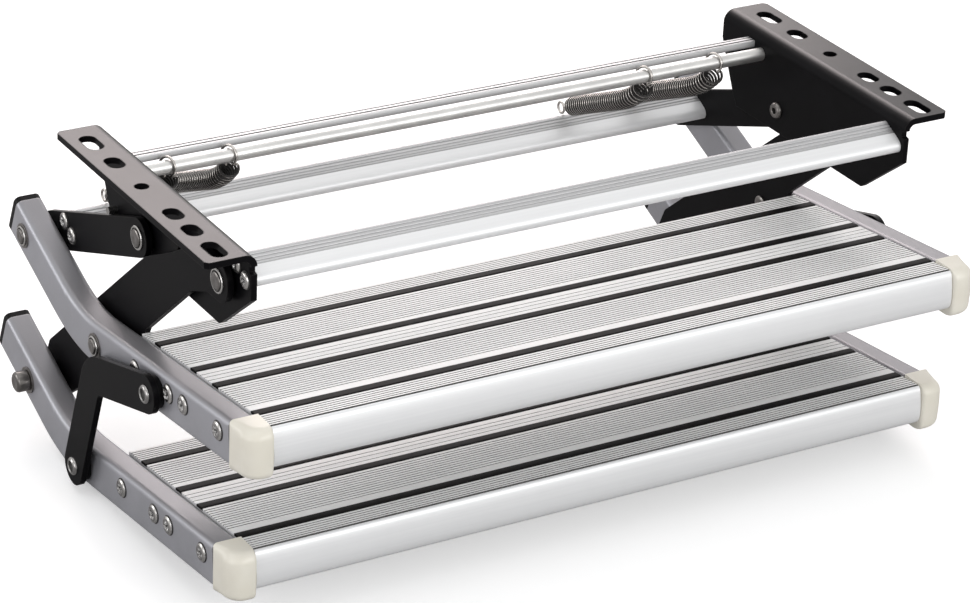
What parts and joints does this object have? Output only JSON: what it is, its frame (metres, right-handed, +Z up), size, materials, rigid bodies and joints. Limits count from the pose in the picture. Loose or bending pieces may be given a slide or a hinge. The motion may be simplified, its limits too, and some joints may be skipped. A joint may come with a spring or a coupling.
{
  "type": "folding double entry step",
  "caption": "Folding double entry step: two hollow plank treads on bent side arms, hung by levers and links from two slotted flanges, with cross bars and return springs.",
  "frame": {"origin": "midway between the two round holes, in the flanges' top faces, which lie against the underside of the floor", "axes": "+X to the step's right as seen from outside the doorway, +Y back under the floor, +Z up; the row is at rest with the step folded in"},
  "size_m": [0.6692, 0.4459, 0.2858],
  "materials": {
    "black_steel": "satin black powder coat",
    "extruded_aluminium": "satin extruded",
    "silver_steel": "silver grey paint",
    "bright_steel": "bright drawn",
    "plated_steel": "zinc plated",
    "dark_steel": "dark plated",
    "spring_steel": "oiled spring wire",
    "cream_plastic": "smooth moulded",
    "black_plastic": "moulded",
    "black_rubber": "fine ribbed"
  },
  "bodies": {
    "mounting_frame": {"left_bracket": "black_steel", "right_bracket": "black_steel", "front_crossbar": "extruded_aluminium", "rear_crossbar": "extruded_aluminium", "spring_rod": "bright_steel", "crossbar_screws": "plated_steel", "rear_crossbar_rivets": "plated_steel", "bracket_pivot_pins": "plated_steel", "bracket_washers": "black_plastic", "link_stop_pins": "plated_steel", "lever_buffers": "black_rubber"},
    "levers": {"left_lever": "black_steel", "right_lever": "black_steel", "lever_washers": "black_plastic", "upper_lever_pins": "plated_steel", "lower_lever_bolts": "plated_steel"},
    "rear_links": {"left_rear_link": "black_steel", "right_rear_link": "black_steel", "moving_crossbar": "extruded_aluminium", "moving_crossbar_screws": "plated_steel", "rear_link_studs": "plated_steel"},
    "upper_step": {"upper_left_arm": "silver_steel", "upper_right_arm": "silver_steel", "upper_arm_plugs": "black_plastic", "upper_front_plank": "extruded_aluminium", "upper_rear_plank": "extruded_aluminium", "upper_grip_strips": "black_rubber", "upper_left_nose_cap": "cream_plastic", "upper_right_nose_cap": "cream_plastic", "upper_plank_screws": "plated_steel", "upper_link_pins": "plated_steel", "upper_pin_washers": "dark_steel", "upper_tie_pins": "plated_steel", "upper_tie_spacers": "black_plastic"},
    "lower_step": {"lower_left_arm": "silver_steel", "lower_right_arm": "silver_steel", "lower_arm_plugs": "black_plastic", "lower_front_plank": "extruded_aluminium", "lower_rear_plank": "extruded_aluminium", "lower_grip_strips": "black_rubber", "lower_left_nose_cap": "cream_plastic", "lower_right_nose_cap": "cream_plastic", "lower_plank_screws": "plated_steel", "lower_bolt_washers": "dark_steel", "lower_tie_studs": "black_plastic"},
    "tie_links": {"left_tie_link": "black_steel", "right_tie_link": "black_steel", "lower_tie_pins": "plated_steel"},
    "springs": {"left_outer_spring": "spring_steel", "left_inner_spring": "spring_steel", "right_inner_spring": "spring_steel", "right_outer_spring": "spring_steel"},
    "spring_ends": {"spring_end_loops": "spring_steel"}
  },
  "joints": [
    {"name": "lever_fold", "type": "hinge", "parent": "mounting_frame", "child": "levers", "pos_m": [0, -0.102, -0.035], "axis": [-1, 0, 0], "range_deg": [0, 104]},
    {"name": "rear_link_turn", "type": "hinge", "parent": "mounting_frame", "child": "rear_links", "pos_m": [0, 0.033, -0.0582], "axis": [-1, 0, 0], "range_deg": [0, 136.4]},
    {"name": "upper_step_turn", "type": "hinge", "parent": "levers", "child": "upper_step", "pos_m": [0, 0.0555, -0.1538], "axis": [-1, 0, 0], "range_deg": [-104, 0]},
    {"name": "lower_step_turn", "type": "hinge", "parent": "levers", "child": "lower_step", "pos_m": [0, 0.18389, -0.24314], "axis": [-1, 0, 0], "range_deg": [-104, 0]},
    {"name": "tie_link_turn", "type": "hinge", "parent": "upper_step", "child": "tie_links", "pos_m": [0, -0.05396, -0.14199], "axis": [-1, 0, 0], "range_deg": [0, 86.25]},
    {"name": "spring_swing", "type": "hinge", "parent": "mounting_frame", "child": "springs", "pos_m": [0, 0.061, -0.0185], "axis": [-1, 0, 0], "range_deg": [0, 110.54]},
    {"name": "spring_stretch", "type": "slide", "parent": "springs", "child": "spring_ends", "axis": [0, 0.8431, -0.5378], "range_m": [0, 0.05633]}
  ],
  "couplings": [
    {"joint": "rear_link_turn", "follows": "lever_fold", "ratio": 1.3113},
    {"joint": "upper_step_turn", "follows": "lever_fold", "ratio": -1},
    {"joint": "lower_step_turn", "follows": "lever_fold", "ratio": -1},
    {"joint": "tie_link_turn", "follows": "lever_fold", "ratio": 0.82893},
    {"joint": "spring_swing", "follows": "lever_fold", "ratio": 1.0624},
    {"joint": "spring_stretch", "follows": "lever_fold", "m_per_rad": 0.030981}
  ]
}
